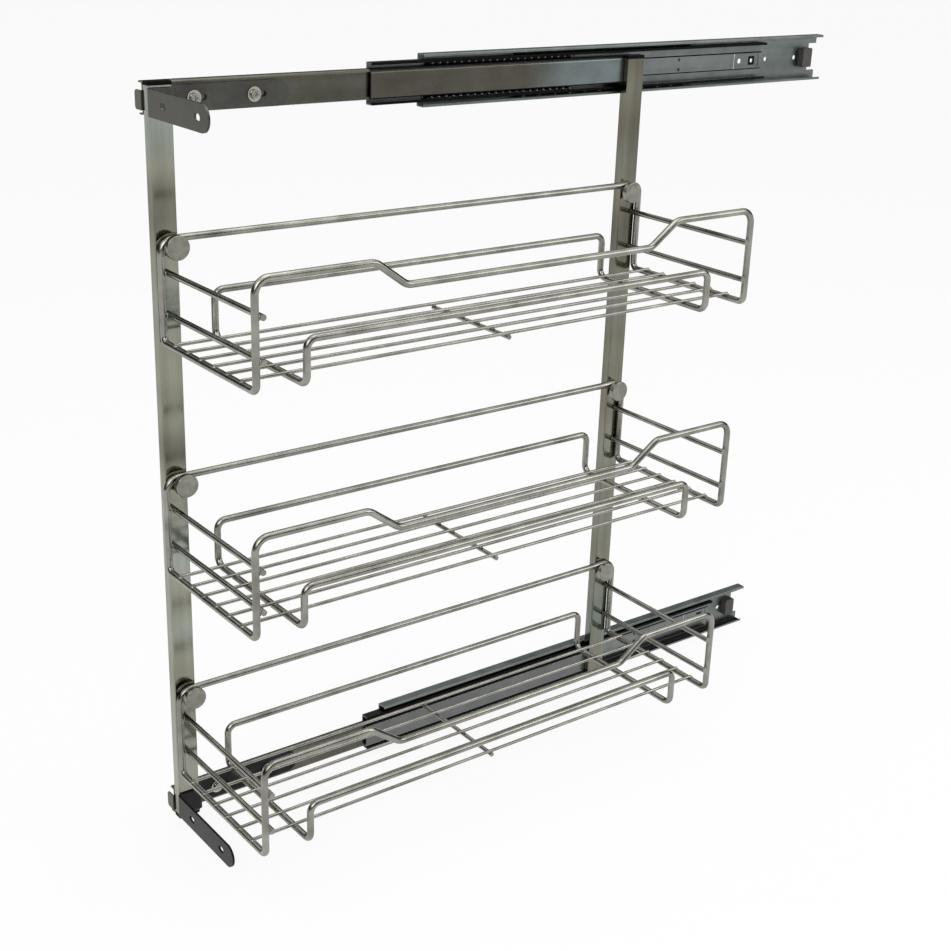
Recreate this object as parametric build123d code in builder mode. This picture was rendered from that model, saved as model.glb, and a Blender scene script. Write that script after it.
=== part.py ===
"""Pull-out spice rack: three wire baskets on a side frame that runs on two telescopic slides.

Millimetres. +Z is up. The wall that carries the slides is the plane Y = 0 and the rack stands
on its -Y side. +X points into the cabinet, so the rack pulls out towards -X.
The origin is midway between the end screw holes of the bottom cabinet rail, on the wall face.
"""

import os

from build123d import *

# Slides
slide_length = 508.0
rail_height = 45.0
drawer_height = 25.4
slide_depth = 12.7
sheet = 1.2
slide_spacing = 626.0

# How the rails stand in the photographed pose, as distances along X
frame_out = 230.0
mid_lag = 209.0
top_rail_setback = 33.0

# Cabinet rail
rail_flange = 10.2
rail_lip = 1.2
wall_hole_front = 37.0
wall_hole_rear = 32.0
wall_hole_d = 4.6
spare_hole_inset = 75.0
adjust_slot = 34.0
adjust_slot_w = 8.0
adjust_slot_inset = 106.0
bumper_length = 13.0
bumper_height = 19.0
bumper_inset = 13.0
bumper_clearance = 5.0
bumper_head_gap = 1.4
notch_length = 11.0
notch_height = 27.0

# Intermediate rail
mid_web_gap = 1.3
mid_flange = 8.7
mid_lip = 1.0
emboss_height = 16.0
emboss_rise = 1.0
lug_place = 363.0
lug_pitch = 9.4
lug_length = 3.4
lug_width = 2.6
lug_rise = 1.6
pocket_length = 35.0
pocket_height = 14.0
pocket_inset = 4.0
pocket_depth = 0.45
rivet_inset = 14.0
rivet_d = 8.5
rivet_rise = 0.35
rivet_bore = 4.2
peep_inset = 31.0
peep_d = 5.0

# Drawer rail
drawer_flange = 6.8
drawer_bend = 2.7
tab_height = 15.0
tab_drop = 1.5
tab_gap = 0.3
tab_wall_gap = 1.9
tab_round = 3.0
end_stop_length = 11.0
end_stop_height = 9.0
end_stop_thickness = 2.2
end_stop_round = 2.0
end_stop_out = 0.5

# Balls and cages
ball_d = 3.5
ball_play = 0.15
cage_sheet = 0.5
cage_gap = 0.4
cage_lip_gap = 0.2
outer_cage_length = 220.0
outer_balls = 12
inner_cage_length = 164.0
inner_balls = 21

# Side frame
upright_width = 20.0
upright_depth = 10.0
upright_wall = 1.2
upright_over = 10.5
cap_thickness = 3.0
cap_overhang = 0.4
cap_taper = 6.0
cap_plug = 2.5
cap_fit = 0.15
stiffener_start = 205.0
stiffener_height = 21.6
stiffener_depth = 3.8
stiffener_gap = 0.5
stiffener_sheet = 1.8

# Door brackets
bracket_sheet = 2.0
bracket_height = 21.0
bracket_reach_top = 99.0
bracket_reach_bottom = 103.0
bracket_back = 127.0
bracket_drop_top = 1.5
bracket_rise_bottom = 2.0
bracket_bend = 2.2
bracket_gap = 0.6
bracket_slot = 16.0
bracket_slot_w = 4.8
slot_shift = 3.3
door_slot = 9.0
door_slot_w = 5.5
door_hole_far = 82.0
door_hole_near = 28.0

# Screws
screw_d = 4.0
screw_head_d = 8.4
screw_head = 2.2
washer_d = 12.0
washer_thickness = 1.0
bracket_screw_near = 42.0
bracket_screw_far = 95.0
carrier_head_d = 7.0
carrier_head = 1.6
carrier_pitch = 12.0
screw_end = 1.0
screw_grip = 4.5
hole_play = 0.1

# Baskets
basket_width = 506.0
basket_depth = 149.0
wire_d = 6.0
bar_d = 5.0
floor_wire_d = 3.0
cross_wire_d = 4.0
back_height = 83.4
front_high = 84.7
front_low = 64.0
dip_left = 103.0
dip_right = 92.0
dip_run = 29.0
corner_bend = 12.0
floor_bend = 6.0
dip_bend = 14.0
fence_left = 41.0
fence_right = 52.0
fence_back_height = 40.0
fence_front_height = 35.4
fence_back_inset = 9.5
fence_front_over = 3.0
fence_bend = 8.0
bar_high = 56.4
bar_low = 22.3
bar_proud = 2.5
floor_wires = 6
floor_wire_over = 0.8
cross_place = 250.0
cross_proud = 1.5
wire_gap = 0.1
weld_sink = 1.2
weld_play = 0.05
tier_spacing = 200.5
lowest_floor = 34.8
side_shift = 2.0

# Basket knobs
knob_d = 20.0
knob_thickness = 5.0
knob_round = 0.8
stem_d = 6.0
stem_length = 8.0
knob_inset = 14.0

# Places that follow from the sizes above
bottom_rail_x = -(slide_length + wall_hole_front - wall_hole_rear) / 2
top_rail_x = bottom_rail_x + top_rail_setback
frame_x = bottom_rail_x - frame_out
mid_length = slide_length - bumper_inset - bumper_length - bumper_clearance
mid_x = frame_x + mid_lag
rear_x = frame_x + slide_length - upright_width
mid_height = (rail_height + drawer_height) / 2
drawer_face = -slide_depth
frame_face = drawer_face - upright_depth
mid_back = -(sheet + mid_web_gap)
mid_front = mid_back - mid_flange
mid_web_face = mid_back - sheet
emboss_face = mid_web_face - emboss_rise
levels = {"bottom": 0.0, "top": slide_spacing}
rail_starts = {"bottom": bottom_rail_x, "top": top_rail_x}
bracket_middles = {
    "bottom": bracket_rise_bottom,
    "top": slide_spacing - bracket_drop_top,
}
bracket_reaches = {"bottom": bracket_reach_bottom, "top": bracket_reach_top}

os.makedirs("parts", exist_ok=True)


def save(part, name):
    part.label = name
    export_step(part, f"parts/{name}.step")


# Cabinet rails: a C of folded steel, open away from the wall, with small lips on the flange edges.
# The rear end of the web is notched round the bumper.
for side, level in levels.items():
    start = rail_starts[side]
    with BuildPart() as cabinet_rail:
        with BuildSketch(Plane.YZ.offset(start)) as section:
            with BuildLine():
                Polyline(
                    (0, level),
                    (0, level + rail_height / 2),
                    (-rail_flange, level + rail_height / 2),
                    (-rail_flange, level + rail_height / 2 - sheet - rail_lip),
                    (-rail_flange + sheet, level + rail_height / 2 - sheet - rail_lip),
                    (-rail_flange + sheet, level + rail_height / 2 - sheet),
                    (-sheet, level + rail_height / 2 - sheet),
                    (-sheet, level),
                    close=True,
                )
            make_face()
            mirror(about=Plane.XZ.offset(-level))
        extrude(amount=slide_length)
        outer_edges = cabinet_rail.edges().filter_by(Axis.X).group_by(Axis.Z)
        fillet(outer_edges[-1] + outer_edges[0], radius=sheet * 0.75)
        with BuildSketch(Plane.XZ) as holes:
            with Locations(
                (start + wall_hole_front, level),
                (start + slide_length - spare_hole_inset, level),
                (start + slide_length - wall_hole_rear, level),
            ):
                Circle(wall_hole_d / 2)
            with Locations((start + slide_length - adjust_slot_inset, level)):
                SlotOverall(adjust_slot, adjust_slot_w)
        extrude(amount=2 * sheet, both=True, mode=Mode.SUBTRACT)
        with BuildSketch(Plane.XZ) as notch:
            with Locations((start + slide_length, level)):
                Rectangle(2 * notch_length, notch_height)
        extrude(amount=2 * sheet, both=True, mode=Mode.SUBTRACT)
    save(cabinet_rail.part, f"{side}_cabinet_rail")

# Rear bumpers: one block at the closed end of each cabinet rail. The drawer rail's channel
# slips over it when the rack is shut.
bumper_face = drawer_face + sheet + carrier_head + bumper_head_gap
with BuildPart() as bumpers:
    for side, level in levels.items():
        bumper_end = rail_starts[side] + slide_length - bumper_inset
        with BuildSketch(Plane.XZ.offset(sheet)):
            with Locations((bumper_end - bumper_length / 2, level)):
                RectangleRounded(bumper_length, bumper_height, 1.5)
        extrude(amount=-bumper_face - sheet)
save(bumpers.part, "rail_bumpers")

# Intermediate rails: a C inside the cabinet rail's C. The web carries a raised band between its
# two ball tracks. Two lugs lanced out of the band stop the inner cage. Near the rear end the band
# has a shallow pocket with a round hole and a hollow rivet.
half_mid = mid_height / 2
half_emboss = emboss_height / 2
mid_end = mid_x + mid_length
for side, level in levels.items():
    with BuildPart() as mid_rail:
        with BuildSketch(Plane.YZ.offset(mid_x)):
            with BuildLine():
                Polyline(
                    (mid_back - emboss_rise, level),
                    (mid_back - emboss_rise, level + half_emboss - emboss_rise),
                    (mid_back, level + half_emboss),
                    (mid_back, level + half_mid),
                    (mid_front, level + half_mid),
                    (mid_front, level + half_mid - sheet - mid_lip),
                    (mid_front + sheet, level + half_mid - sheet - mid_lip),
                    (mid_front + sheet, level + half_mid - sheet),
                    (mid_web_face, level + half_mid - sheet),
                    (mid_web_face, level + half_emboss + emboss_rise / 2),
                    (emboss_face, level + half_emboss - emboss_rise / 2),
                    (emboss_face, level),
                    close=True,
                )
            make_face()
            mirror(about=Plane.XZ.offset(-level))
        extrude(amount=mid_length)
        with BuildSketch(Plane.XZ.offset(-emboss_face)) as lugs:
            with Locations((mid_x + lug_place, level)):
                with GridLocations(0, lug_pitch, 1, 2):
                    RectangleRounded(lug_length, lug_width, lug_width / 4)
        extrude(amount=lug_rise)
        with BuildSketch(Plane.XZ.offset(-emboss_face)) as pocket:
            with Locations((mid_end - pocket_inset - pocket_length / 2, level)):
                RectangleRounded(pocket_length, pocket_height, pocket_height / 6)
        extrude(amount=-pocket_depth, mode=Mode.SUBTRACT)
        with BuildSketch(Plane.XZ.offset(-emboss_face - pocket_depth)) as rivet:
            with Locations((mid_end - rivet_inset, level)):
                Circle(rivet_d / 2)
        extrude(amount=rivet_rise)
        with BuildSketch(Plane.XZ) as holes:
            with Locations((mid_end - rivet_inset, level)):
                Circle(rivet_bore / 2)
            with Locations((mid_end - peep_inset, level)):
                Circle(peep_d / 2)
        extrude(amount=-emboss_face + 2, mode=Mode.SUBTRACT)
    save(mid_rail.part, f"{side}_intermediate_rail")

# Drawer rails: a shallow C that opens towards the wall, with rounded outer corners. At the front
# end the web runs on and turns towards the wall, as a tab that stops on the other rails' ends.
half_drawer = drawer_height / 2
flange_end = drawer_face + drawer_flange
screw_rows = (-carrier_pitch / 2, carrier_pitch / 2)
for side, level in levels.items():
    with BuildPart() as drawer_rail:
        with BuildSketch(Plane.YZ.offset(frame_x)):
            with BuildLine():
                Polyline(
                    (drawer_face, level),
                    (drawer_face, level + half_drawer - drawer_bend),
                )
                RadiusArc(
                    (drawer_face, level + half_drawer - drawer_bend),
                    (drawer_face + drawer_bend, level + half_drawer),
                    drawer_bend,
                )
                Polyline(
                    (drawer_face + drawer_bend, level + half_drawer),
                    (flange_end, level + half_drawer),
                    (flange_end, level + half_drawer - sheet),
                    (drawer_face + drawer_bend, level + half_drawer - sheet),
                )
                RadiusArc(
                    (drawer_face + drawer_bend, level + half_drawer - sheet),
                    (drawer_face + sheet, level + half_drawer - drawer_bend),
                    -(drawer_bend - sheet),
                )
                Polyline(
                    (drawer_face + sheet, level + half_drawer - drawer_bend),
                    (drawer_face + sheet, level),
                    (drawer_face, level),
                )
            make_face()
            mirror(about=Plane.XZ.offset(-level))
        extrude(amount=slide_length)
        with BuildSketch(Plane.YZ.offset(frame_x)):
            with Locations((drawer_face + sheet / 2, level - tab_drop)):
                Rectangle(sheet, tab_height)
        extrude(amount=-tab_gap - sheet)
        with BuildSketch(Plane.YZ.offset(frame_x - tab_gap)):
            with Locations(((drawer_face - tab_wall_gap) / 2, level - tab_drop)):
                Rectangle(-tab_wall_gap - drawer_face, tab_height)
        extrude(amount=-sheet)
        tab_corners = drawer_rail.edges().filter_by(Axis.X).group_by(Axis.Y)[-1]
        fillet(tab_corners, radius=tab_round)
        with BuildSketch(Plane.XZ.offset(-flange_end)):
            for row in screw_rows:
                with Locations(
                    (frame_x + upright_width / 2, level + row),
                    (rear_x + upright_width / 2, level + row),
                ):
                    Circle(screw_d / 2 + hole_play)
            with Locations(
                (frame_x + bracket_screw_near, bracket_middles[side]),
                (frame_x + bracket_screw_far, bracket_middles[side]),
            ):
                Circle(screw_d / 2 + hole_play)
        extrude(amount=drawer_flange + 1, mode=Mode.SUBTRACT)
    save(drawer_rail.part, f"{side}_drawer_rail")

# Rail end stops: a flat plastic tongue inside the rear end of each drawer rail.
with BuildPart() as end_stops:
    for level in levels.values():
        with BuildSketch(Plane.XZ.offset(-drawer_face - sheet)):
            with Locations((frame_x + slide_length + end_stop_out, level)):
                RectangleRounded(end_stop_length, end_stop_height, end_stop_round)
        extrude(amount=-end_stop_thickness)
save(end_stops.part, "rail_end_stops")

# Ball cages: a U of thin strip, its legs between the flanges of two rails, with a row of holes
# in each leg. The outer pair runs between cabinet and intermediate rails, the inner pair between
# intermediate and drawer rails. Each cage stands midway between the rails that roll on it.
outer_leg = (rail_height / 2 - sheet + half_mid) / 2
inner_leg = (half_mid - sheet + half_drawer) / 2
mid_centre = mid_x + mid_length / 2
drawer_centre = frame_x + slide_length / 2
outer_back = -(sheet + cage_gap)
inner_back = emboss_face - cage_gap
outer_reach = rail_flange - sheet - cage_lip_gap + outer_back
inner_reach = -mid_front - sheet - cage_lip_gap + inner_back
outer_ball_y = outer_back - outer_reach * 0.58
inner_ball_y = (flange_end + drawer_face + drawer_bend) / 2
for side, level in levels.items():
    rail_centre = rail_starts[side] + slide_length / 2
    for layer, leg, back, reach, centre, length, count, ball_y in (
        (
            "outer",
            outer_leg,
            outer_back,
            outer_reach,
            (rail_centre + mid_centre) / 2 - 5,
            outer_cage_length,
            outer_balls,
            outer_ball_y,
        ),
        (
            "inner",
            inner_leg,
            inner_back,
            inner_reach,
            (mid_centre + drawer_centre) / 2,
            inner_cage_length,
            inner_balls,
            inner_ball_y,
        ),
    ):
        pitch = length / count
        with BuildPart() as cage:
            with BuildSketch(Plane.YZ.offset(centre - length / 2)):
                with BuildLine():
                    Polyline(
                        (back, level),
                        (back, level + leg + cage_sheet / 2),
                        (back - reach, level + leg + cage_sheet / 2),
                        (back - reach, level + leg - cage_sheet / 2),
                        (back - cage_sheet, level + leg - cage_sheet / 2),
                        (back - cage_sheet, level),
                        close=True,
                    )
                make_face()
                mirror(about=Plane.XZ.offset(-level))
            extrude(amount=length)
            with BuildSketch(Plane.XY.offset(level)):
                with Locations((centre, ball_y)):
                    with GridLocations(pitch, 0, count, 1):
                        Circle(ball_d / 2 + ball_play)
            extrude(amount=leg + cage_sheet, both=True, mode=Mode.SUBTRACT)
            with BuildSketch(Plane.XZ.offset(-back - 0.5)):
                with Locations((centre, level)):
                    with GridLocations(length / 3, 0, 3, 1):
                        SlotOverall(length / 5, leg)
            extrude(amount=cage_sheet + 1, mode=Mode.SUBTRACT)
        save(cage.part, f"{side}_{layer}_cage")

        with BuildPart() as balls:
            for row in (-leg, leg):
                with Locations((centre, ball_y, level + row)):
                    with GridLocations(pitch, 0, count, 1):
                        Sphere(ball_d / 2)
        save(balls.part, f"{side}_{layer}_balls")

# Uprights: rectangular tube on the faces of both drawer rails. The front wall is drilled for the
# knob stems and the back wall for the screws that hold the drawer rails.
upright_low = -upright_over
upright_length = slide_spacing + 2 * upright_over
rail_rise = back_height
stem_drop = (stem_d + wire_d) / 2 + wire_gap
floors = [lowest_floor + tier * tier_spacing for tier in range(3)]
knob_levels = [floor + back_height - stem_drop for floor in floors]
knob_columns = (frame_x + knob_inset, frame_x + slide_length - knob_inset)
for end, left, column in (("front", frame_x, knob_columns[0]), ("rear", rear_x, knob_columns[1])):
    with BuildPart() as upright:
        with BuildSketch(Plane.XY.offset(upright_low)):
            with Locations((left + upright_width / 2, drawer_face - upright_depth / 2)):
                RectangleRounded(upright_width, upright_depth, upright_wall)
                Rectangle(
                    upright_width - 2 * upright_wall,
                    upright_depth - 2 * upright_wall,
                    mode=Mode.SUBTRACT,
                )
        extrude(amount=upright_length)
        with BuildSketch(Plane.XZ.offset(-frame_face - upright_wall - 1)):
            with Locations(*[(column, knob_level) for knob_level in knob_levels]):
                Circle(stem_d / 2 + hole_play / 2)
        extrude(amount=upright_wall + 2, mode=Mode.SUBTRACT)
        with BuildSketch(Plane.XZ.offset(-drawer_face - 1)):
            for level in levels.values():
                for row in screw_rows:
                    with Locations((left + upright_width / 2, level + row)):
                        Circle(screw_d / 2 + hole_play / 2)
        extrude(amount=upright_wall + 2, mode=Mode.SUBTRACT)
    save(upright.part, f"{end}_upright")

# Upright caps: a flange that closes each tube end, flush with the tube's wide faces, with a plug
# inside the tube.
with BuildPart() as caps:
    for left in (frame_x, rear_x):
        for face, way in ((upright_low, -1), (upright_low + upright_length, 1)):
            tube_end = Plane(
                origin=(left + upright_width / 2, drawer_face - upright_depth / 2, face),
                x_dir=(1, 0, 0),
                z_dir=(0, 0, way),
            )
            with BuildSketch(tube_end):
                RectangleRounded(upright_width + 2 * cap_overhang, upright_depth, upright_wall)
            extrude(amount=cap_thickness, taper=cap_taper)
            with BuildSketch(tube_end):
                Rectangle(
                    upright_width - 2 * upright_wall - 2 * cap_fit,
                    upright_depth - 2 * upright_wall - 2 * cap_fit,
                )
            extrude(amount=-cap_plug)
save(caps.part, "upright_caps")

# Stiffeners: a shallow channel on the face of each drawer rail, open towards the rail, from a cut
# front end to the rear upright.
stiffener_length = rear_x - stiffener_gap - frame_x - stiffener_start
for side, level in levels.items():
    with BuildPart() as stiffener:
        with BuildSketch(Plane.YZ.offset(frame_x + stiffener_start)):
            with Locations((drawer_face - stiffener_depth / 2, level)):
                Rectangle(stiffener_depth, stiffener_height)
            with Locations((drawer_face - (stiffener_depth - stiffener_sheet) / 2, level)):
                Rectangle(
                    stiffener_depth - stiffener_sheet,
                    stiffener_height - 2 * stiffener_sheet,
                    mode=Mode.SUBTRACT,
                )
        extrude(amount=stiffener_length)
        fold_edges = stiffener.edges().filter_by(Axis.X).group_by(Axis.Y)[0]
        fillet(fold_edges, radius=stiffener_sheet * 0.6)
    save(stiffener.part, f"{side}_stiffener")

# Door brackets: steel strip that lies on the drawer rail, steps out round the front upright and
# turns forward into the leg that the door is screwed to. Both ends are round.
strip_half = bracket_sheet / 2
fold_x = frame_x - strip_half
step_x = frame_x + upright_width + bracket_gap + strip_half
strip_out_y = frame_face - strip_half
strip_in_y = drawer_face - strip_half
strip_end = frame_x + bracket_back
for side, middle in bracket_middles.items():
    leg_end = frame_face - bracket_reaches[side]
    with BuildPart() as bracket:
        with BuildSketch(Plane.XY.offset(middle - bracket_height / 2)):
            with BuildLine():
                FilletPolyline(
                    (fold_x, leg_end),
                    (fold_x, strip_out_y),
                    (step_x, strip_out_y),
                    (step_x, strip_in_y),
                    (strip_end, strip_in_y),
                    radius=bracket_bend,
                )
            trace(line_width=bracket_sheet)
        extrude(amount=bracket_height)
        with BuildSketch(Plane.YZ.offset(frame_x - 2 * bracket_sheet)):
            with Locations((leg_end, middle)):
                Rectangle(bracket_height, bracket_height * 2)
            with Locations((leg_end + bracket_height / 2, middle)):
                Circle(bracket_height / 2, mode=Mode.SUBTRACT)
            for place in (door_hole_far, door_hole_near):
                with Locations((frame_face - place, middle)):
                    SlotOverall(door_slot, door_slot_w)
        extrude(amount=4 * bracket_sheet, mode=Mode.SUBTRACT)
        with BuildSketch(Plane.XZ.offset(-strip_in_y)):
            with Locations((strip_end, middle)):
                Rectangle(bracket_height, bracket_height * 2)
            with Locations((strip_end - bracket_height / 2, middle)):
                Circle(bracket_height / 2, mode=Mode.SUBTRACT)
            for place in (bracket_screw_near, bracket_screw_far):
                with Locations((frame_x + place + slot_shift, middle)):
                    SlotOverall(bracket_slot, bracket_slot_w)
        extrude(amount=bracket_sheet, both=True, mode=Mode.SUBTRACT)
    save(bracket.part, f"{side}_door_bracket")

# Bracket washers: a flat washer under each of the four screw heads. It bridges the slot.
washer_face = drawer_face - bracket_sheet - washer_thickness
with BuildPart() as washers:
    with BuildSketch(Plane.XZ.offset(-drawer_face + bracket_sheet)):
        for middle in bracket_middles.values():
            with Locations(
                (frame_x + bracket_screw_near, middle), (frame_x + bracket_screw_far, middle)
            ):
                Circle(washer_d / 2)
                Circle(screw_d / 2 + hole_play, mode=Mode.SUBTRACT)
    extrude(amount=washer_thickness)
save(washers.part, "bracket_washers")

# Bracket screws: pan heads with a cross recess, one through each slot of the two brackets.
with BuildPart() as bracket_screws:
    for middle in bracket_middles.values():
        for place in (bracket_screw_near, bracket_screw_far):
            head_seat = Plane(
                origin=(frame_x + place, washer_face, middle),
                x_dir=(1, 0, 0),
                z_dir=(0, -1, 0),
            )
            with BuildSketch(head_seat):
                Circle(screw_head_d / 2)
            extrude(amount=screw_head, taper=12)
            with BuildSketch(head_seat):
                Circle(screw_d / 2)
            extrude(amount=-(washer_thickness + bracket_sheet + sheet + screw_end))
            with BuildSketch(head_seat.offset(screw_head)):
                Rectangle(screw_d, screw_d / 4)
                Rectangle(screw_d / 4, screw_d)
            extrude(amount=-screw_head / 2, mode=Mode.SUBTRACT)
save(bracket_screws.part, "bracket_screws")

# Carrier screws: flat heads inside the drawer rails, two where each rail crosses an upright.
with BuildPart() as carrier_screws:
    for level in levels.values():
        for left in (frame_x, rear_x):
            for row in screw_rows:
                head_seat = Plane(
                    origin=(left + upright_width / 2, drawer_face + sheet, level + row),
                    x_dir=(1, 0, 0),
                    z_dir=(0, 1, 0),
                )
                with BuildSketch(head_seat):
                    Circle(carrier_head_d / 2)
                extrude(amount=carrier_head)
                with BuildSketch(head_seat):
                    Circle(screw_d / 2)
                extrude(amount=-(sheet + upright_wall + screw_grip))
save(carrier_screws.part, "carrier_screws")

# Baskets. Each is a bent frame wire, a bent fence wire, straight end bars, thin floor wires and
# one cross wire. The back rail of the frame wire hangs on the stems of two knobs. Where the floor
# wires are welded they sink into the wires below, which are grooved for them.
names = ("bottom", "middle", "top")
back_y = frame_face - wire_d / 2 - wire_gap
front_y = back_y - basket_depth
fence_back = back_y - fence_back_inset
fence_front = front_y - fence_front_over
floor_wire_rise = (wire_d + floor_wire_d) / 2 + weld_play - weld_sink
floor_pitch = basket_depth / (floor_wires + 1)
cross_rise = floor_wire_rise - (floor_wire_d + cross_wire_d) / 2 - wire_gap
cross_back = back_y - floor_pitch + cross_proud
cross_length = basket_depth - 2 * floor_pitch + 2 * cross_proud
bar_inset = (wire_d + bar_d) / 2 + wire_gap
for tier, name in enumerate(names):
    floor = floors[tier]
    shift = -side_shift if name == "middle" else side_shift
    left = frame_x + (slide_length - basket_width) / 2 + shift
    right = left + basket_width
    low_left = left + dip_left
    low_right = right - dip_right
    fence_left_x = left + fence_left
    fence_right_x = right - fence_right

    # Frame wire: back rail, down each upright, forward under the ends, up the front corners and
    # along a front rail that dips between two slopes.
    with BuildPart() as basket_frame:
        with BuildLine() as frame_path:
            FilletPolyline(
                (left, back_y, floor + back_height),
                (left, back_y, floor),
                (left, front_y, floor),
                (left, front_y, floor + front_high),
                (low_left, front_y, floor + front_high),
                (low_left + dip_run, front_y, floor + front_low),
                (low_right - dip_run, front_y, floor + front_low),
                (low_right, front_y, floor + front_high),
                (right, front_y, floor + front_high),
                (right, front_y, floor),
                (right, back_y, floor),
                (right, back_y, floor + back_height),
                radius=[
                    corner_bend,
                    floor_bend,
                    floor_bend,
                    corner_bend,
                    dip_bend,
                    dip_bend,
                    dip_bend,
                    dip_bend,
                    corner_bend,
                    floor_bend,
                    floor_bend,
                    corner_bend,
                ],
                close=True,
            )
        with BuildSketch(frame_path.wires()[0] ^ 0):
            Circle(wire_d / 2)
        sweep()
        with BuildSketch(Plane.YZ.offset(left - wire_d)):
            with Locations(((back_y + front_y) / 2, floor + floor_wire_rise)):
                with GridLocations(floor_pitch, 0, floor_wires, 1):
                    Circle(floor_wire_d / 2 + weld_play)
        extrude(amount=basket_width + 2 * wire_d, mode=Mode.SUBTRACT)
    save(basket_frame.part, f"{name}_basket_frame")

    # Fence wire: a low rail behind and a low rail in front, joined by two runs under the floor.
    with BuildPart() as fence:
        with BuildLine() as fence_path:
            FilletPolyline(
                (fence_left_x, fence_back, floor + fence_back_height),
                (fence_left_x, fence_back, floor),
                (fence_left_x, fence_front, floor),
                (fence_left_x, fence_front, floor + fence_front_height),
                (fence_right_x, fence_front, floor + fence_front_height),
                (fence_right_x, fence_front, floor),
                (fence_right_x, fence_back, floor),
                (fence_right_x, fence_back, floor + fence_back_height),
                radius=fence_bend,
                close=True,
            )
        with BuildSketch(fence_path.wires()[0] ^ 0):
            Circle(wire_d / 2)
        sweep()
        with BuildSketch(Plane.YZ.offset(left - wire_d)):
            with Locations(((back_y + front_y) / 2, floor + floor_wire_rise)):
                with GridLocations(floor_pitch, 0, floor_wires, 1):
                    Circle(floor_wire_d / 2 + weld_play)
        extrude(amount=basket_width + 2 * wire_d, mode=Mode.SUBTRACT)
    save(fence.part, f"{name}_basket_fence")

    # End bars: two at each end, on the inner side of the upright runs and the front corners.
    with BuildPart() as end_bars:
        with BuildSketch(Plane.XZ.offset(-back_y - bar_proud)):
            for bar_z in (bar_low, bar_high):
                with Locations(
                    (left + bar_inset, floor + bar_z),
                    (right - bar_inset, floor + bar_z),
                ):
                    Circle(bar_d / 2)
        extrude(amount=basket_depth + 2 * bar_proud)
    save(end_bars.part, f"{name}_end_bars")

    # Floor wires: thin straight wires across the end runs and the fence runs.
    with BuildPart() as floor_grid:
        with BuildSketch(Plane.YZ.offset(left - floor_wire_over)):
            with Locations(((back_y + front_y) / 2, floor + floor_wire_rise)):
                with GridLocations(floor_pitch, 0, floor_wires, 1):
                    Circle(floor_wire_d / 2)
        extrude(amount=basket_width + 2 * floor_wire_over)
    save(floor_grid.part, f"{name}_floor_wires")

    # Cross wire: one wire under the middle of the floor, a little longer than the wires it joins.
    with BuildPart() as cross_wire:
        with BuildSketch(Plane.XZ.offset(-cross_back)):
            with Locations((left + cross_place, floor + cross_rise)):
                Circle(cross_wire_d / 2)
        extrude(amount=cross_length)
    save(cross_wire.part, f"{name}_cross_wire")

    # Knobs: a round disc on a stem that passes through the upright's front wall.
    with BuildPart() as knobs:
        for column in knob_columns:
            knob_seat = Plane(
                origin=(column, frame_face, knob_levels[tier]),
                x_dir=(1, 0, 0),
                z_dir=(0, -1, 0),
            )
            with BuildSketch(knob_seat.offset(-upright_wall - screw_grip)):
                Circle(stem_d / 2)
            extrude(amount=upright_wall + screw_grip + stem_length)
            with BuildSketch(knob_seat.offset(stem_length)):
                Circle(knob_d / 2)
            extrude(amount=knob_thickness)
        disc_edges = knobs.edges().filter_by(GeomType.CIRCLE).group_by(Axis.Y)[0]
        fillet(disc_edges, radius=knob_round)
    save(knobs.part, f"{name}_knobs")
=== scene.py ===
import bmesh
import bpy
from mathutils import Matrix, Vector


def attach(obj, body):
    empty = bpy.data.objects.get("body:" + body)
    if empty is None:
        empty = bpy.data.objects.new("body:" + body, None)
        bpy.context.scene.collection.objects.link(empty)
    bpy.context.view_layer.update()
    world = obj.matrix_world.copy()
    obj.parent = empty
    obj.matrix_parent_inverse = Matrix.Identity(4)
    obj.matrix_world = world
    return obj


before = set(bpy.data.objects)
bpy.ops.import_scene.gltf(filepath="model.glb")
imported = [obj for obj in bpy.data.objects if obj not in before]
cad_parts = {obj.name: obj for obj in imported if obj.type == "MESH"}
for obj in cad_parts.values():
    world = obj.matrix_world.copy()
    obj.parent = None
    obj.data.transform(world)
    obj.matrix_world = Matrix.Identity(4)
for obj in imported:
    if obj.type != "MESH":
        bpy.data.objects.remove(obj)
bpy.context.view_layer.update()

# ---- Camera ----
# The rack is seen from its front left and a little from above, as it stands drawn out of the
# opened cabinet. The two directions are what is right and what is up in the picture.
camera_data = bpy.data.cameras.new("rack_camera")
camera_data.sensor_width = 36.0
camera_data.lens = 58.31
camera_data.clip_start = 0.05
camera_data.clip_end = 80.0
rack_camera = bpy.data.objects.new("rack_camera", camera_data)
bpy.context.scene.collection.objects.link(rack_camera)
camera_place = (-1.00576, -1.11769, 0.79414)
look_right = Vector((0.79944, -0.59988, 0.03228))
look_up = Vector((0.19478, 0.30965, 0.93069))
look_back = look_right.cross(look_up)
camera_turn = Matrix((look_right, look_up, look_back)).transposed().to_4x4()
rack_camera.matrix_world = Matrix.Translation(camera_place) @ camera_turn
bpy.context.scene.camera = rack_camera

# ---- Floor and light ----
# A plain white floor just under the lower rail, a white room and three large soft lamps. A grey
# curtain far round the floor gives the bright plating its darker edges; it is never seen itself.
white = (1.0, 1.0, 1.0, 1.0)


# 1 for what is seen directly or mirrored in metal, 0 for the light that falls on the rack.
def seen_directly(nodes, links):
    rays = nodes.new("ShaderNodeLightPath")
    mirrored = nodes.new("ShaderNodeMath")
    mirrored.operation = "MAXIMUM"
    links.new(rays.outputs["Is Glossy Ray"], mirrored.inputs[0])
    links.new(rays.outputs["Is Transmission Ray"], mirrored.inputs[1])
    seen = nodes.new("ShaderNodeMath")
    seen.operation = "MAXIMUM"
    links.new(rays.outputs["Is Camera Ray"], seen.inputs[0])
    links.new(mirrored.outputs["Value"], seen.inputs[1])
    return seen.outputs["Value"]


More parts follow.
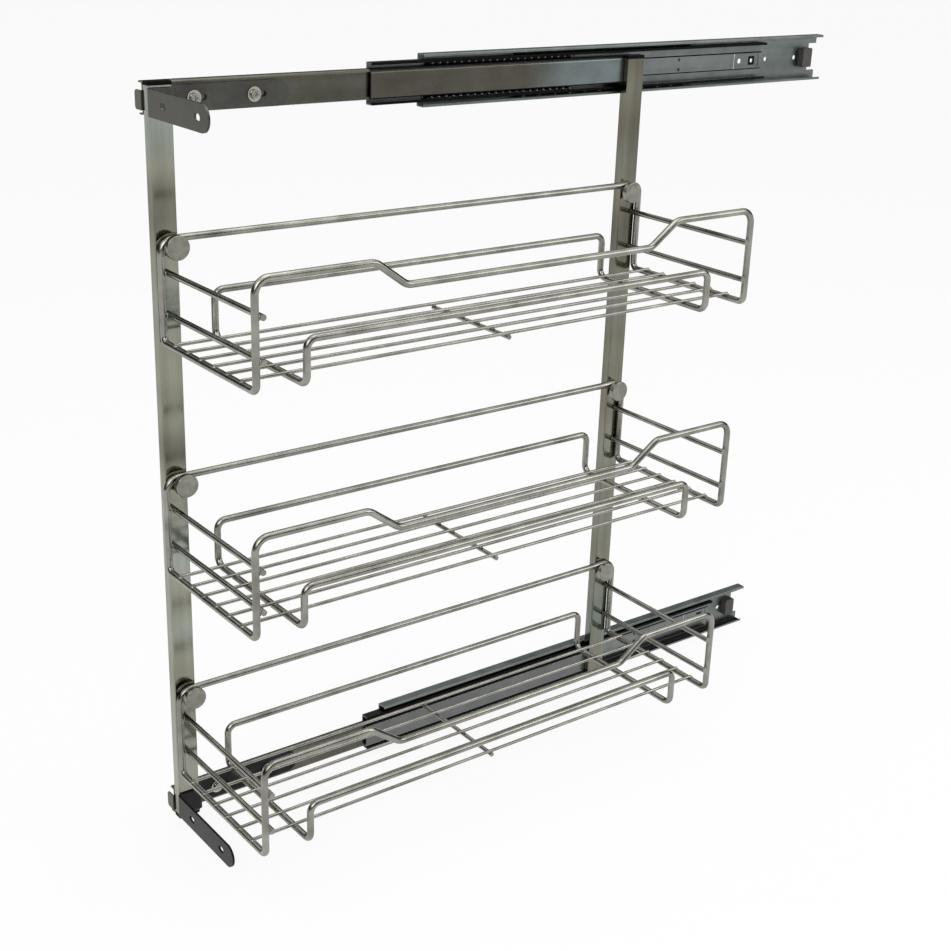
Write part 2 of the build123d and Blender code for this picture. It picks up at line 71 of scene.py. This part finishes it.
room_light = 0.55
room = bpy.data.worlds.new("white_room")
bpy.context.scene.world = room
room.use_nodes = True
room_nodes = room.node_tree.nodes
room_links = room.node_tree.links
room_nodes.clear()
room_out = room_nodes.new("ShaderNodeOutputWorld")
room_soft = room_nodes.new("ShaderNodeBackground")
room_soft.inputs["Color"].default_value = white
room_soft.inputs["Strength"].default_value = room_light
room_white = room_nodes.new("ShaderNodeBackground")
room_white.inputs["Color"].default_value = white
room_white.inputs["Strength"].default_value = 1.0
room_mix = room_nodes.new("ShaderNodeMixShader")
room_links.new(seen_directly(room_nodes, room_links), room_mix.inputs["Fac"])
room_links.new(room_soft.outputs["Background"], room_mix.inputs[1])
room_links.new(room_white.outputs["Background"], room_mix.inputs[2])
room_links.new(room_mix.outputs["Shader"], room_out.inputs["Surface"])

floor_reach = 60.0
floor_height = -0.024
floor_whiteness = 0.9
floor_mesh = bpy.data.meshes.new("floor")
floor_shape = bmesh.new()
bmesh.ops.create_grid(floor_shape, x_segments=1, y_segments=1, size=floor_reach)
bmesh.ops.translate(floor_shape, verts=floor_shape.verts, vec=(0.0, 0.0, floor_height))
floor_shape.to_mesh(floor_mesh)
floor_shape.free()
floor = bpy.data.objects.new("floor", floor_mesh)
bpy.context.scene.collection.objects.link(floor)
floor_paint = bpy.data.materials.new("white_floor")
floor_paint.use_nodes = True
floor_nodes = floor_paint.node_tree.nodes
floor_links = floor_paint.node_tree.links
floor_coat = floor_nodes["Principled BSDF"]
floor_coat.inputs["Base Color"].default_value = (0.93, 0.93, 0.93, 1.0)
floor_coat.inputs["Roughness"].default_value = 0.8
floor_coat.inputs["Specular IOR Level"].default_value = 0.0
floor_glow = floor_nodes.new("ShaderNodeEmission")
floor_glow.inputs["Color"].default_value = white
floor_glow.inputs["Strength"].default_value = 1.0
floor_share = floor_nodes.new("ShaderNodeMath")
floor_share.operation = "MULTIPLY"
floor_share.inputs[1].default_value = floor_whiteness
floor_mix = floor_nodes.new("ShaderNodeMixShader")
floor_links.new(seen_directly(floor_nodes, floor_links), floor_share.inputs[0])
floor_links.new(floor_share.outputs["Value"], floor_mix.inputs["Fac"])
floor_links.new(floor_coat.outputs["BSDF"], floor_mix.inputs[1])
floor_links.new(floor_glow.outputs["Emission"], floor_mix.inputs[2])
floor_links.new(floor_mix.outputs["Shader"], floor_nodes["Material Output"].inputs["Surface"])
floor_mesh.materials.append(floor_paint)

curtain_radius = 14.0
curtain_height = 9.0
curtain_mesh = bpy.data.meshes.new("curtain")
curtain_shape = bmesh.new()
bmesh.ops.create_cone(
    curtain_shape,
    cap_ends=False,
    segments=64,
    radius1=curtain_radius,
    radius2=curtain_radius,
    depth=curtain_height,
)
bmesh.ops.translate(curtain_shape, verts=curtain_shape.verts, vec=(0.0, 0.0, curtain_height / 2))
curtain_shape.to_mesh(curtain_mesh)
curtain_shape.free()
curtain = bpy.data.objects.new("curtain", curtain_mesh)
bpy.context.scene.collection.objects.link(curtain)
curtain.visible_camera = False
curtain.visible_diffuse = False
curtain.visible_shadow = False
curtain_cloth = bpy.data.materials.new("curtain_grey")
curtain_cloth.use_nodes = True
curtain_coat = curtain_cloth.node_tree.nodes["Principled BSDF"]
curtain_coat.inputs["Base Color"].default_value = (0.10, 0.10, 0.10, 1.0)
curtain_coat.inputs["Roughness"].default_value = 1.0
curtain_coat.inputs["Specular IOR Level"].default_value = 0.0
curtain_mesh.materials.append(curtain_cloth)

middle_of_rack = Vector((-0.2, -0.1, 0.3))
for lamp_name, lamp_place, lamp_size, lamp_power in (
    ("lamp_left", (-2.0, -1.6, 1.9), 1.6, 26.0),
    ("lamp_right", (1.6, -1.9, 1.4), 1.3, 16.0),
    ("lamp_above", (0.0, -0.3, 2.6), 1.8, 18.0),
):
    lamp_data = bpy.data.lights.new(lamp_name, "AREA")
    lamp_data.shape = "SQUARE"
    lamp_data.size = lamp_size
    lamp_data.energy = lamp_power
    lamp = bpy.data.objects.new(lamp_name, lamp_data)
    lamp.location = lamp_place
    lamp_aim = middle_of_rack - Vector(lamp_place)
    lamp.rotation_euler = lamp_aim.to_track_quat("-Z", "Y").to_euler()
    bpy.context.scene.collection.objects.link(lamp)


# ---- Telescopic rails ----
# Rails of cold-rolled steel strip, folded into channels and zinc plated. The plating is dull
# grey with faint streaks along the rail from the rolling mill. The outer rails are screwed to
# the cabinet's wall, and the others run in them on balls.
def two_tones(nodes, dark, light, span):
    tone = nodes.new("ShaderNodeValToRGB")
    for stop, place, colour in zip(tone.color_ramp.elements, span, (dark, light)):
        stop.position = place
        stop.color = (*colour, 1.0)
    return tone


# streaks: marks in a metre along x, y and z. rough: the least and the most roughness.
# cloud_size: how wide the faint clouds in the plating are. fineness: detail of the streaks.
def plated(name, dark, light, streaks, rough, relief, cloud_size=0.02, fineness=5.0):
    streak_share = 0.6
    tone_span = (0.3, 0.7)
    relief_depth = 0.0002
    metal = bpy.data.materials.new(name)
    metal.use_nodes = True
    nodes = metal.node_tree.nodes
    links = metal.node_tree.links
    skin = nodes["Principled BSDF"]
    skin.inputs["Metallic"].default_value = 1.0
    place = nodes.new("ShaderNodeTexCoord")
    stretch = nodes.new("ShaderNodeMapping")
    stretch.inputs["Scale"].default_value = streaks
    links.new(place.outputs["Object"], stretch.inputs["Vector"])
    rolled = nodes.new("ShaderNodeTexNoise")
    rolled.inputs["Scale"].default_value = 1.0
    rolled.inputs["Detail"].default_value = fineness
    rolled.inputs["Roughness"].default_value = 0.6
    links.new(stretch.outputs["Vector"], rolled.inputs["Vector"])
    cloud = nodes.new("ShaderNodeTexNoise")
    cloud.inputs["Scale"].default_value = 1.0 / cloud_size
    cloud.inputs["Detail"].default_value = 3.0
    links.new(place.outputs["Object"], cloud.inputs["Vector"])
    cloud_part = nodes.new("ShaderNodeMath")
    cloud_part.operation = "MULTIPLY"
    cloud_part.inputs[1].default_value = 1.0 - streak_share
    links.new(cloud.outputs["Fac"], cloud_part.inputs[0])
    marks = nodes.new("ShaderNodeMath")
    marks.operation = "MULTIPLY_ADD"
    marks.inputs[1].default_value = streak_share
    links.new(rolled.outputs["Fac"], marks.inputs[0])
    links.new(cloud_part.outputs["Value"], marks.inputs[2])
    tone = two_tones(nodes, dark, light, tone_span)
    links.new(marks.outputs["Value"], tone.inputs["Fac"])
    links.new(tone.outputs["Color"], skin.inputs["Base Color"])
    gloss = nodes.new("ShaderNodeMapRange")
    gloss.inputs["From Min"].default_value, gloss.inputs["From Max"].default_value = tone_span
    gloss.inputs["To Min"].default_value, gloss.inputs["To Max"].default_value = rough
    links.new(marks.outputs["Value"], gloss.inputs["Value"])
    links.new(gloss.outputs["Result"], skin.inputs["Roughness"])
    bump = nodes.new("ShaderNodeBump")
    bump.inputs["Strength"].default_value = relief
    bump.inputs["Distance"].default_value = relief_depth
    links.new(rolled.outputs["Fac"], bump.inputs["Height"])
    links.new(bump.outputs["Normal"], skin.inputs["Normal"])
    return metal


def finish_node(node, material):
    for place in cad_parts[node].material_slots:
        place.material = material


slide_spacing = 0.626


# Paints one colour over some zones of a plating, to stand for light or shade: painted shade in
# the ball tracks, the gaps between rails and along steps, or a painted highlight on an edge. A
# zone
# is a box: from and to along x, along y, and above or below the middle of either slide.
def paint_light_zones(metal, zones, colour):
    zone_roughness = 0.4
    nodes = metal.node_tree.nodes
    links = metal.node_tree.links
    skin = nodes["Principled BSDF"]
    place = nodes.new("ShaderNodeTexCoord")
    axes = nodes.new("ShaderNodeSeparateXYZ")
    links.new(place.outputs["Object"], axes.inputs["Vector"])

    def combine(operation, first, second):
        node = nodes.new("ShaderNodeMath")
        node.operation = operation
        for socket, value in zip(node.inputs, (first, second)):
            if isinstance(value, float):
                socket.default_value = value
            else:
                links.new(value, socket)
        return node.outputs["Value"]

    on_upper_slide = combine("GREATER_THAN", axes.outputs["Z"], slide_spacing / 2)
    slide_middle = combine("MULTIPLY", on_upper_slide, slide_spacing)
    height = combine("ABSOLUTE", combine("SUBTRACT", axes.outputs["Z"], slide_middle), 0.0)
    covered = None
    for x_from, x_to, y_from, y_to, height_from, height_to in zones:
        inside = None
        for value, low, high in (
            (axes.outputs["X"], x_from, x_to),
            (axes.outputs["Y"], y_from, y_to),
            (height, height_from, height_to),
        ):
            over_low = combine("GREATER_THAN", value, low)
            between = combine("MULTIPLY", over_low, combine("LESS_THAN", value, high))
            inside = between if inside is None else combine("MULTIPLY", inside, between)
        covered = inside if covered is None else combine("MAXIMUM", covered, inside)
    zone_tone = nodes.new("ShaderNodeMix")
    zone_tone.data_type = "RGBA"
    links.new(covered, zone_tone.inputs["Factor"])
    links.new(skin.inputs["Base Color"].links[0].from_socket, zone_tone.inputs["A"])
    zone_tone.inputs["B"].default_value = (*colour, 1.0)
    links.new(zone_tone.outputs["Result"], skin.inputs["Base Color"])
    zone_gloss = nodes.new("ShaderNodeMix")
    links.new(covered, zone_gloss.inputs["Factor"])
    links.new(skin.inputs["Roughness"].links[0].from_socket, zone_gloss.inputs["A"])
    zone_gloss.inputs["B"].default_value = zone_roughness
    links.new(zone_gloss.outputs["Result"], skin.inputs["Roughness"])


whole_rail = (-1.0, 1.0)
# Near-black painted shade for the ball tracks and the gaps between the rails.
track_painted_shade = (0.008, 0.008, 0.008)
# Dark grey painted shade for steps and the outsides of flanges.
thin_painted_shade = (0.028, 0.030, 0.029)
# Near-black painted shade on the drawer rails' top track.
drawer_painted_shade = (0.010, 0.010, 0.010)
# Light grey painted highlight for a pocket's front edge.
pocket_edge_highlight = (0.62, 0.64, 0.62)

rail_zinc = plated(
    "rail_zinc",
    dark=(0.108, 0.126, 0.118),
    light=(0.25, 0.28, 0.262),
    streaks=(3.0, 90.0, 90.0),
    rough=(0.30, 0.46),
    relief=0.12,
)
# Painted shade: the cabinet rail's ball track, deep in the channel, is painted near black.
cabinet_ball_track = (*whole_rail, -0.0098, -0.0014, 0.0175, 0.0214)
paint_light_zones(rail_zinc, [cabinet_ball_track], track_painted_shade)

middle_zinc = plated(
    "middle_zinc",
    dark=(0.11, 0.125, 0.123),
    light=(0.25, 0.27, 0.262),
    streaks=(3.0, 80.0, 80.0),
    rough=(0.26, 0.42),
    relief=0.12,
)
# Painted shade: the middle rail's flange edge, its ball track and a rivet's hollow are painted
# near black.
middle_flange_edge = (*whole_rail, -0.0120, -0.0110, 0.0120, 0.0180)
middle_ball_track = (*whole_rail, -0.0112, -0.0042, 0.0120, 0.01655)
upper_hollow_rivet = (0.1812, 0.1898, -0.0050, -0.0042, -0.0010, 0.00428)
paint_light_zones(middle_zinc, [middle_flange_edge, middle_ball_track, upper_hollow_rivet], track_painted_shade)
# Painted shade: dark grey lines along the raised band's steps and on the middle flange's
# outside.
raised_band_step = (*whole_rail, -0.0080, -0.0036, 0.0074, 0.0084)
middle_flange_outside = (*whole_rail, -0.0112, -0.0030, 0.0173, 0.0180)
paint_light_zones(middle_zinc, [raised_band_step, middle_flange_outside], thin_painted_shade)
# Painted highlight: a light line on the front edge of the upper pocket.
upper_pocket_step = (0.1601, 0.1612, -0.0060, -0.0040, -0.0010, 0.0072)
paint_light_zones(middle_zinc, [upper_pocket_step], pocket_edge_highlight)

drawer_zinc = plated(
    "drawer_zinc",
    dark=(0.070, 0.068, 0.056),
    light=(0.145, 0.14, 0.115),
    streaks=(3.0, 70.0, 70.0),
    rough=(0.24, 0.38),
    relief=0.10,
)
# Painted shade: the drawer rail's top track, in the gap under the middle rail, is painted near
# black.
drawer_ball_track = (-0.2805, 1.0, -0.0130, 0.0, 0.0109, 0.0135)
paint_light_zones(drawer_zinc, [drawer_ball_track], drawer_painted_shade)

upper_stiffener_zinc = plated(
    "upper_stiffener_zinc",
    dark=(0.072, 0.066, 0.054),
    light=(0.125, 0.116, 0.096),
    streaks=(3.0, 30.0, 30.0),
    rough=(0.22, 0.34),
    relief=0.08,
)
# The lower stiffener is the same zinc as the upper one, painted lighter and greyer to stand for
# the brighter reflection it shows.
lower_stiffener_painted_light = plated(
    "lower_stiffener_painted_light",
    dark=(0.11, 0.118, 0.112),
    light=(0.19, 0.20, 0.195),
    streaks=(3.0, 30.0, 30.0),
    rough=(0.22, 0.34),
    relief=0.08,
)

# The upper stiffener is brown in front; a painted reflection turns it cooler and brighter to the
# rear.
reflection_starts = -0.125
bright_begins = -0.055
bright_tint = (1.75, 2.25, 2.75, 1.0)
reflection_nodes = upper_stiffener_zinc.node_tree.nodes
reflection_links = upper_stiffener_zinc.node_tree.links
reflection_skin = reflection_nodes["Principled BSDF"]
reflection_place = reflection_nodes.new("ShaderNodeTexCoord")
reflection_axes = reflection_nodes.new("ShaderNodeSeparateXYZ")
reflection_links.new(reflection_place.outputs["Object"], reflection_axes.inputs["Vector"])
reflection_run = reflection_nodes.new("ShaderNodeMapRange")
reflection_run.interpolation_type = "SMOOTHSTEP"
reflection_run.inputs["From Min"].default_value = reflection_starts
reflection_run.inputs["From Max"].default_value = bright_begins
reflection_links.new(reflection_axes.outputs["X"], reflection_run.inputs["Value"])
painted_reflection = reflection_nodes.new("ShaderNodeMix")
painted_reflection.data_type = "RGBA"
painted_reflection.blend_type = "MULTIPLY"
painted_reflection.inputs["B"].default_value = bright_tint
reflection_links.new(reflection_run.outputs["Result"], painted_reflection.inputs["Factor"])
reflection_links.new(reflection_skin.inputs["Base Color"].links[0].from_socket, painted_reflection.inputs["A"])
reflection_links.new(painted_reflection.outputs["Result"], reflection_skin.inputs["Base Color"])

for side in ("top", "bottom"):
    finish_node(f"{side}_cabinet_rail", rail_zinc)
    finish_node(f"{side}_intermediate_rail", middle_zinc)
    finish_node(f"{side}_drawer_rail", drawer_zinc)
finish_node("top_stiffener", upper_stiffener_zinc)
finish_node("bottom_stiffener", lower_stiffener_painted_light)

# ---- Ball cages and balls ----
# The cages are thin punched strip, painted near black as painted shade deep between the rails.
# They hold the balls apart between two rails. The balls are polished bearing steel.
cage_painted_shade = plated(
    "cage_painted_shade",
    dark=(0.006, 0.006, 0.006),
    light=(0.022, 0.022, 0.02),
    streaks=(8.0, 60.0, 60.0),
    rough=(0.3, 0.5),
    relief=0.1,
)
ball_steel = plated(
    "ball_steel",
    dark=(0.22, 0.22, 0.21),
    light=(0.40, 0.40, 0.39),
    streaks=(200.0, 200.0, 200.0),
    rough=(0.22, 0.34),
    relief=0.02,
)
for side in ("top", "bottom"):
    for layer in ("outer", "inner"):
        finish_node(f"{side}_{layer}_cage", cage_painted_shade)
        finish_node(f"{side}_{layer}_balls", ball_steel)


# ---- Uprights ----
# Rectangular steel tube, bright plated, with fine vertical draw lines. Its colour turns a
# little brown in soft bands along the tube and cooler and brighter between them.
def banded_tube(name, dark, light, first_band):
    bands_in_a_metre = 7.0
    brown = (0.50, 0.46, 0.40)
    warm = (0.95, 0.91, 0.78)
    cool = (1.0, 1.08, 1.08)
    metal = plated(
        name,
        dark,
        light,
        streaks=(60.0, 60.0, 3.0),
        rough=(0.10, 0.18),
        relief=0.06,
        cloud_size=0.05,
    )
    nodes = metal.node_tree.nodes
    links = metal.node_tree.links
    skin = nodes["Principled BSDF"]
    place = nodes.new("ShaderNodeTexCoord")
    along = nodes.new("ShaderNodeMapping")
    along.inputs["Location"].default_value = (0.0, 0.0, first_band)
    along.inputs["Scale"].default_value = (1.0, 1.0, bands_in_a_metre)
    links.new(place.outputs["Object"], along.inputs["Vector"])
    bands = nodes.new("ShaderNodeTexNoise")
    bands.inputs["Scale"].default_value = 1.0
    bands.inputs["Detail"].default_value = 2.0
    links.new(along.outputs["Vector"], bands.inputs["Vector"])
    tint = two_tones(nodes, brown, cool, (0.34, 0.66))
    tint.color_ramp.elements.new(0.48).color = (*warm, 1.0)
    links.new(bands.outputs["Fac"], tint.inputs["Fac"])
    blend = nodes.new("ShaderNodeMix")
    blend.data_type = "RGBA"
    blend.blend_type = "MULTIPLY"
    blend.inputs["Factor"].default_value = 1.0
    links.new(skin.inputs["Base Color"].links[0].from_socket, blend.inputs["A"])
    links.new(tint.outputs["Color"], blend.inputs["B"])
    links.new(blend.outputs["Result"], skin.inputs["Base Color"])
    return metal


front_tube = banded_tube(
    "front_tube_plating", dark=(0.21, 0.22, 0.20), light=(0.40, 0.42, 0.395), first_band=0.4
)
# The rear upright is the same tube as the front one, painted darker as painted shade.
rear_tube = banded_tube(
    "rear_tube_painted_shade", dark=(0.12, 0.122, 0.11), light=(0.27, 0.275, 0.25), first_band=3.1
)
finish_node("front_upright", front_tube)
finish_node("rear_upright", rear_tube)


# ---- Plastic pieces ----
# Injection-moulded black caps, rail tongues and dark grey bumpers, with a fine matt grain. They
# are pushed into the ends of the tubes and of the rails.
def moulded(name, dark, light, rough, shine):
    grains_in_a_metre = 900.0
    rough_change = 0.08
    grain_depth = 0.0001
    plastic = bpy.data.materials.new(name)
    plastic.use_nodes = True
    nodes = plastic.node_tree.nodes
    links = plastic.node_tree.links
    skin = nodes["Principled BSDF"]
    skin.inputs["Specular IOR Level"].default_value = shine
    place = nodes.new("ShaderNodeTexCoord")
    grain = nodes.new("ShaderNodeTexNoise")
    grain.inputs["Scale"].default_value = grains_in_a_metre
    grain.inputs["Detail"].default_value = 2.0
    links.new(place.outputs["Object"], grain.inputs["Vector"])
    tone = two_tones(nodes, dark, light, (0.35, 0.65))
    links.new(grain.outputs["Fac"], tone.inputs["Fac"])
    links.new(tone.outputs["Color"], skin.inputs["Base Color"])
    gloss = nodes.new("ShaderNodeMapRange")
    gloss.inputs["To Min"].default_value = rough - rough_change
    gloss.inputs["To Max"].default_value = rough + rough_change
    links.new(grain.outputs["Fac"], gloss.inputs["Value"])
    links.new(gloss.outputs["Result"], skin.inputs["Roughness"])
    bump = nodes.new("ShaderNodeBump")
    bump.inputs["Strength"].default_value = 0.15
    bump.inputs["Distance"].default_value = grain_depth
    links.new(grain.outputs["Fac"], bump.inputs["Height"])
    links.new(bump.outputs["Normal"], skin.inputs["Normal"])
    return plastic


cap_black = moulded(
    "cap_black", dark=(0.0015, 0.0015, 0.002), light=(0.005, 0.005, 0.006), rough=0.6, shine=0.06
)
bumper_grey = moulded(
    "bumper_grey", dark=(0.038, 0.036, 0.035), light=(0.070, 0.067, 0.064), rough=0.5, shine=0.4
)
finish_node("upright_caps", cap_black)
finish_node("rail_end_stops", cap_black)
finish_node("rail_bumpers", bumper_grey)

# ---- Door brackets and their screws ----
# Pressed steel strip. The top one is plated grey, the bottom one is coloured much darker.
# Pan-head screws with a cross recess, each on a flat washer, clamp them to the drawer rails.
# Eight more screws, behind the uprights, hold these to the drawer rails.
bracket_grey = plated(
    "bracket_grey",
    dark=(0.066, 0.064, 0.057),
    light=(0.118, 0.118, 0.106),
    streaks=(25.0, 25.0, 25.0),
    rough=(0.30, 0.42),
    relief=0.1,
)
bracket_dark = plated(
    "bracket_dark",
    dark=(0.012, 0.012, 0.013),
    light=(0.032, 0.032, 0.034),
    streaks=(25.0, 25.0, 25.0),
    rough=(0.30, 0.45),
    relief=0.1,
)
screw_zinc = plated(
    "screw_zinc",
    dark=(0.20, 0.195, 0.17),
    light=(0.46, 0.45, 0.40),
    streaks=(260.0, 260.0, 260.0),
    rough=(0.12, 0.24),
    relief=0.06,
)
washer_zinc = plated(
    "washer_zinc",
    dark=(0.34, 0.335, 0.295),
    light=(0.56, 0.55, 0.49),
    streaks=(120.0, 120.0, 120.0),
    rough=(0.18, 0.3),
    relief=0.06,
)
finish_node("top_door_bracket", bracket_grey)
finish_node("bottom_door_bracket", bracket_dark)
finish_node("bracket_washers", washer_zinc)
finish_node("bracket_screws", screw_zinc)
finish_node("carrier_screws", screw_zinc)

# ---- Basket wires ----
# Drawn steel wire, bent, welded at every crossing and then bright plated as one basket. The
# plating shows faint cloudy changes along each wire.
wire_plating = plated(
    "wire_plating",
    dark=(0.17, 0.167, 0.145),
    light=(0.40, 0.395, 0.355),
    streaks=(40.0, 40.0, 40.0),
    rough=(0.18, 0.28),
    relief=0.03,
    cloud_size=0.03,
    fineness=2.0,
)
for tier in ("bottom", "middle", "top"):
    for wire in ("basket_frame", "basket_fence", "end_bars", "floor_wires", "cross_wire"):
        finish_node(f"{tier}_{wire}", wire_plating)

# ---- Weld nuggets ----
# Where two wires of a basket cross they are resistance welded. The metal that is squeezed out
# stands as a small smooth nugget round each joint, under the same plating as the wires.
basket_length = 0.506
basket_depth = 0.149
basket_front_end = -0.4855
basket_middle_y = -0.1003
lowest_floor = 0.0348
tier_pitch = 0.2005
floor_wire_count = 6
floor_wire_pitch = basket_depth / (floor_wire_count + 1)
fence_from_front = 0.041
fence_from_rear = 0.052
cross_wire_from_front = 0.250
end_bar_heights = (0.0223, 0.0564)
end_bar_inset = 0.003
floor_joint_height = 0.0025
cross_joint_height = 0.0018
floor_nugget = (0.0027, 0.0023, 0.0012)
cross_nugget = (0.0018, 0.0017, 0.0009)
end_bar_nugget = (0.0011, 0.0024, 0.0027)

for tier_number, (tier, tier_shift) in enumerate(
    (("bottom", 0.002), ("middle", -0.002), ("top", 0.002))
):
    tier_floor = lowest_floor + tier_number * tier_pitch
    front_end = basket_front_end + tier_shift
    rear_end = front_end + basket_length
    fence_ends = (front_end + fence_from_front, rear_end - fence_from_rear)
    joints = []
    for wire_number in range(floor_wire_count):
        from_middle = (wire_number - (floor_wire_count - 1) / 2) * floor_wire_pitch
        wire_y = basket_middle_y + from_middle
        for carrier_x in (front_end, *fence_ends, rear_end):
            joints.append(((carrier_x, wire_y, tier_floor + floor_joint_height), floor_nugget))
        cross_x = front_end + cross_wire_from_front
        joints.append(((cross_x, wire_y, tier_floor + cross_joint_height), cross_nugget))
    for bar_height in end_bar_heights:
        for bar_y in (basket_middle_y + basket_depth / 2, basket_middle_y - basket_depth / 2):
            for bar_x in (front_end + end_bar_inset, rear_end - end_bar_inset):
                joints.append(((bar_x, bar_y, tier_floor + bar_height), end_bar_nugget))
    nuggets = bmesh.new()
    for joint, reach in joints:
        seat = Matrix.Translation(joint) @ Matrix.Diagonal((*reach, 1.0))
        bmesh.ops.create_icosphere(nuggets, subdivisions=2, radius=1.0, matrix=seat)
    for face in nuggets.faces:
        face.smooth = True
    weld_mesh = bpy.data.meshes.new(f"{tier}_weld_nuggets")
    nuggets.to_mesh(weld_mesh)
    nuggets.free()
    welds = bpy.data.objects.new(f"{tier}_weld_nuggets", weld_mesh)
    bpy.context.scene.collection.objects.link(welds)
    weld_mesh.materials.append(wire_plating)
    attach(welds, "rack")

# ---- Knobs ----
# Turned metal discs with a satin plating. Each is screwed through the front wall of an upright,
# and the back rail of a basket hangs on its stem.
knob_plating = plated(
    "knob_plating",
    dark=(0.17, 0.17, 0.145),
    light=(0.38, 0.375, 0.32),
    streaks=(150.0, 150.0, 150.0),
    rough=(0.26, 0.36),
    relief=0.08,
)
for tier in ("bottom", "middle", "top"):
    finish_node(f"{tier}_knobs", knob_plating)

bpy.context.scene.view_settings.view_transform = "Standard"
